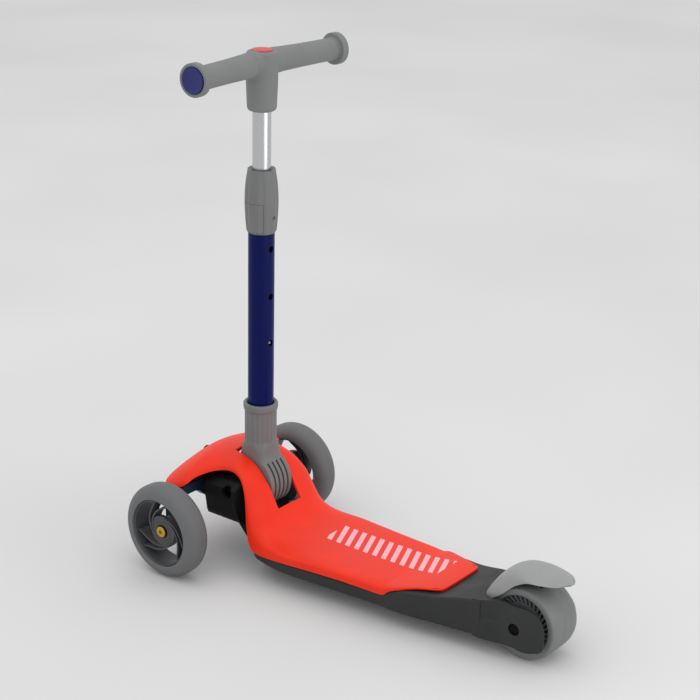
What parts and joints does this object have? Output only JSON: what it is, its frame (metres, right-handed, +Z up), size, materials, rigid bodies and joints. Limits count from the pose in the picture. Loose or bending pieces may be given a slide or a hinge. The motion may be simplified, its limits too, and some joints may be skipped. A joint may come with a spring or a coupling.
{
  "type": "three-wheel folding kick scooter",
  "caption": "Folding kick scooter with lean-steered spoked front wheels, a moulded deck, a pressed rear brake and a T bar on a telescopic column.",
  "frame": {"origin": "on the ground below the middle of the scooter's outer box", "axes": "+X forward, +Y to the rider's left, +Z up; the wheels stand on z = 0"},
  "size_m": [0.571, 0.278, 0.6475],
  "materials": {
    "cover": "satin",
    "chassis": "fine grain",
    "dark_moulding": "matt",
    "grey_moulding": "fine grain",
    "grip": "soft matt",
    "brake": "satin",
    "blue_tube": "gloss",
    "blue_cap": "satin",
    "red": "satin",
    "silver": "satin anodised",
    "steel": "plated",
    "blue_steel": "satin",
    "gold": "plated",
    "front_tyre": "matt",
    "rear_tyre": "satin",
    "rim": "satin",
    "rubber": "matt"
  },
  "bodies": {
    "deck": {"deck_cover": "cover", "chassis": "chassis", "head_block": "dark_moulding", "fold_pin": "steel", "fold_pin_nut": "steel", "belly_bolt_left": "gold", "belly_bolt_right": "gold", "kingpin": "steel", "kingpin_nut": "steel", "lean_bushing": "rubber", "rear_axle_bolt": "steel", "rear_axle_nut": "steel", "brake_pin": "steel"},
    "front_truck": {"truck_beam": "dark_moulding", "axle_arm_left": "blue_steel", "axle_arm_right": "blue_steel", "axle_bolt_left": "gold", "axle_bolt_right": "gold", "axle_nut_left": "steel", "axle_nut_right": "steel"},
    "wheel_left": {"tyre_left": "front_tyre", "rim_left": "rim", "wheel_left_outer_bearing": "steel", "wheel_left_inner_bearing": "steel", "wheel_left_spacer": "steel"},
    "wheel_right": {"tyre_right": "front_tyre", "rim_right": "rim", "wheel_right_outer_bearing": "steel", "wheel_right_inner_bearing": "steel", "wheel_right_spacer": "steel"},
    "rear_wheel": {"rear_tyre": "rear_tyre", "rear_rim": "chassis", "rear_wheel_left_bearing": "steel", "rear_wheel_right_bearing": "steel", "rear_wheel_spacer": "steel"},
    "column": {"column_foot": "grey_moulding", "column_tube": "blue_tube", "clamp_sleeve": "grey_moulding", "clamp_panel": "grey_moulding", "clamp_screw": "steel", "column_bush": "dark_moulding"},
    "stem": {"stem_tube": "silver", "tee_boss": "grip", "cross_bar": "silver", "tee_cap": "red", "grip_left": "grip", "grip_right": "grip", "end_cap_left": "blue_cap", "end_cap_right": "blue_cap"},
    "snap_button": {"snap_button": "steel", "snap_leaf": "steel"},
    "fold_button": {"fold_button": "dark_moulding"},
    "brake": {"brake_fender": "brake", "brake_shoe": "steel"}
  },
  "joints": [
    {"name": "truck_lean", "type": "hinge", "parent": "deck", "child": "front_truck", "pos_m": [0.2455, 0, 0.08], "axis": [0.766, 0, 0.6428], "range_deg": [-6, 6], "stiffness_Nm_per_rad": 60},
    {"name": "wheel_left_spin", "type": "hinge", "parent": "front_truck", "child": "wheel_left", "pos_m": [0.2255, 0.122, 0.06], "axis": [0, 1, 0], "continuous": true},
    {"name": "wheel_right_spin", "type": "hinge", "parent": "front_truck", "child": "wheel_right", "pos_m": [0.2255, -0.122, 0.06], "axis": [0, 1, 0], "continuous": true},
    {"name": "rear_wheel_spin", "type": "hinge", "parent": "deck", "child": "rear_wheel", "pos_m": [-0.2345, 0, 0.045], "axis": [0, 1, 0], "continuous": true},
    {"name": "column_fold", "type": "hinge", "parent": "deck", "child": "column", "pos_m": [0.179, 0, 0.101], "axis": [0, -1, 0], "range_deg": [0, 83]},
    {"name": "stem_height", "type": "slide", "parent": "column", "child": "stem", "axis": [-0.0349, 0, 0.9994], "range_m": [0, 0.12]},
    {"name": "snap_button_press", "type": "slide", "parent": "stem", "child": "snap_button", "axis": [0.9994, 0, 0.0349], "range_m": [0, 0.003], "stiffness_N_per_m": 400, "deforming": ["snap_leaf"]},
    {"name": "fold_button_press", "type": "slide", "parent": "deck", "child": "fold_button", "axis": [-1, 0, 0], "range_m": [0, 0.0035], "stiffness_N_per_m": 500, "springref_m": -0.0005},
    {"name": "brake_press", "type": "hinge", "parent": "deck", "child": "brake", "pos_m": [-0.1855, 0, 0.062], "axis": [0, -1, 0], "range_deg": [0, 3.5], "stiffness_Nm_per_rad": 6, "springref_deg": -1.72}
  ]
}
